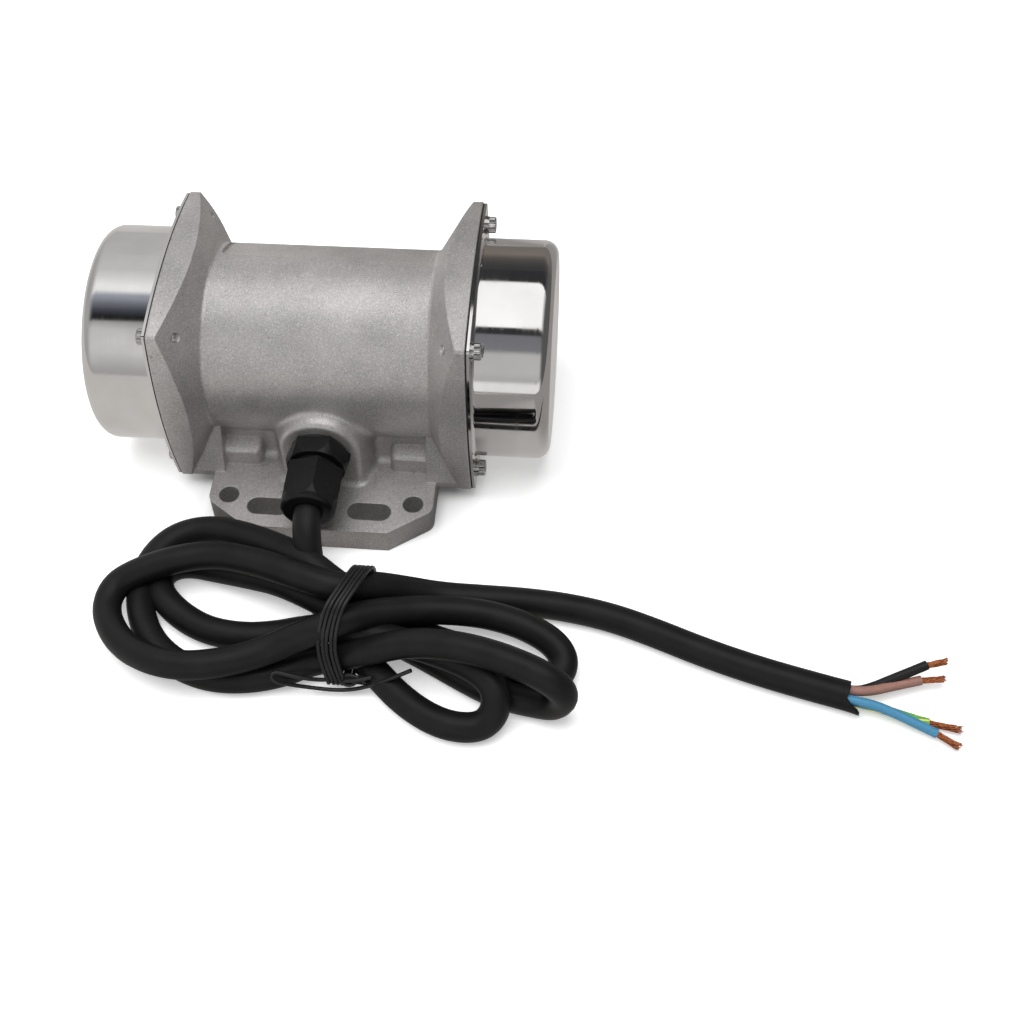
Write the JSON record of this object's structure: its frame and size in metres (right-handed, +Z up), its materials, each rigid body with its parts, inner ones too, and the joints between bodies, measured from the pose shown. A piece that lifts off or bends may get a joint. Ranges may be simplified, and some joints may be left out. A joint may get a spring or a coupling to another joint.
{
  "type": "vibration motor",
  "caption": "Three-phase external vibration motor with foot plate, polished end covers over eccentric weights, cable gland and a coiled free supply cable.",
  "frame": {"origin": "centre of the mounting face, the underside of the foot plate", "axes": "+Z up from the mounting face, +X along the shaft towards the right-hand cover, -Y the side of the cable gland"},
  "size_m": [0.2692, 0.1771, 0.076],
  "materials": {
    "cast_aluminium": "sand-cast and blasted, matte, fine grain",
    "machined_aluminium": "turned",
    "cage_aluminium": "pressure cast",
    "polished_stainless": "mirror-polished drawn stainless steel",
    "screw_steel": "stainless, as made",
    "ground_steel": "ground",
    "bearing_steel": "lapped",
    "spring_steel": "blackened",
    "weight_steel": "flame-cut and turned",
    "lamination_steel": "stacked laminations",
    "cage_brass": "pressed",
    "copper_winding": "enamelled copper",
    "bare_copper": "bare copper strands",
    "fibre_wedge": "pressed fibre",
    "gasket_rubber": "matte",
    "gland_rubber": "matte",
    "gland_nylon": "black nylon, satin",
    "cable_sheath": "black rubber, satin",
    "lead_insulation": "silicone insulation",
    "tie_plastic": "plastic-coated wire, black",
    "core_black": "smooth insulation",
    "core_brown": "smooth insulation",
    "core_blue": "smooth insulation",
    "core_green_yellow": "smooth insulation, striped"
  },
  "bodies": {
    "housing": {"body_casting": "cast_aluminium", "stator_core": "lamination_steel", "stator_winding": "copper_winding", "slot_wedges": "fibre_wedge", "gland_seal_ring": "gland_rubber", "gland_body": "gland_nylon", "gland_insert": "gland_rubber", "gland_claw": "gland_nylon", "gland_nut": "gland_nylon", "cable_entry": "cable_sheath", "inner_leads": "lead_insulation", "cable_lead": "cable_sheath", "cable_bundle": "cable_sheath", "cable_tail": "cable_sheath", "cable_tie": "tie_plastic", "core_black": "core_black", "core_brown": "core_brown", "core_blue": "core_blue", "core_green_yellow": "core_green_yellow", "copper_ends": "bare_copper", "left_gasket": "gasket_rubber", "left_cover": "polished_stainless", "left_cover_screws": "screw_steel", "left_flat_washers": "screw_steel", "left_spring_washers": "screw_steel", "left_end_shield": "machined_aluminium", "left_shield_screws": "screw_steel", "left_bearing_outer_race": "bearing_steel", "left_end_washer": "ground_steel", "right_gasket": "gasket_rubber", "right_cover": "polished_stainless", "right_cover_screws": "screw_steel", "right_flat_washers": "screw_steel", "right_spring_washers": "screw_steel", "right_end_shield": "machined_aluminium", "right_shield_screws": "screw_steel", "right_bearing_outer_race": "bearing_steel", "right_end_washer": "ground_steel"},
    "rotor": {"rotor_core": "lamination_steel", "rotor_cage": "cage_aluminium", "shaft": "ground_steel", "left_bearing_inner_race": "bearing_steel", "left_key": "ground_steel", "left_fixed_weight": "weight_steel", "left_snap_ring": "spring_steel", "right_bearing_inner_race": "bearing_steel", "right_key": "ground_steel", "right_fixed_weight": "weight_steel", "right_snap_ring": "spring_steel"},
    "left_ball_set": {"left_bearing_balls": "bearing_steel", "left_bearing_cage": "cage_brass"},
    "right_ball_set": {"right_bearing_balls": "bearing_steel", "right_bearing_cage": "cage_brass"},
    "left_adjustable_weight": {"left_adjustable_weight": "weight_steel", "left_clamp_screw": "screw_steel"},
    "right_adjustable_weight": {"right_adjustable_weight": "weight_steel", "right_clamp_screw": "screw_steel"}
  },
  "joints": [
    {"name": "rotor_spin", "type": "hinge", "parent": "housing", "child": "rotor", "pos_m": [0, 0, 0.0391], "axis": [1, 0, 0], "continuous": true},
    {"name": "left_ball_set_roll", "type": "hinge", "parent": "housing", "child": "left_ball_set", "pos_m": [0, 0, 0.0391], "axis": [1, 0, 0], "continuous": true},
    {"name": "right_ball_set_roll", "type": "hinge", "parent": "housing", "child": "right_ball_set", "pos_m": [0, 0, 0.0391], "axis": [1, 0, 0], "continuous": true},
    {"name": "left_weight_setting", "type": "hinge", "parent": "rotor", "child": "left_adjustable_weight", "pos_m": [0, 0, 0.0391], "axis": [1, 0, 0], "range_deg": [0, 180]},
    {"name": "right_weight_setting", "type": "hinge", "parent": "rotor", "child": "right_adjustable_weight", "pos_m": [0, 0, 0.0391], "axis": [1, 0, 0], "range_deg": [0, 180]}
  ],
  "couplings": [
    {"joint": "left_ball_set_roll", "follows": "rotor_spin", "ratio": 0.365},
    {"joint": "right_ball_set_roll", "follows": "rotor_spin", "ratio": 0.365}
  ]
}
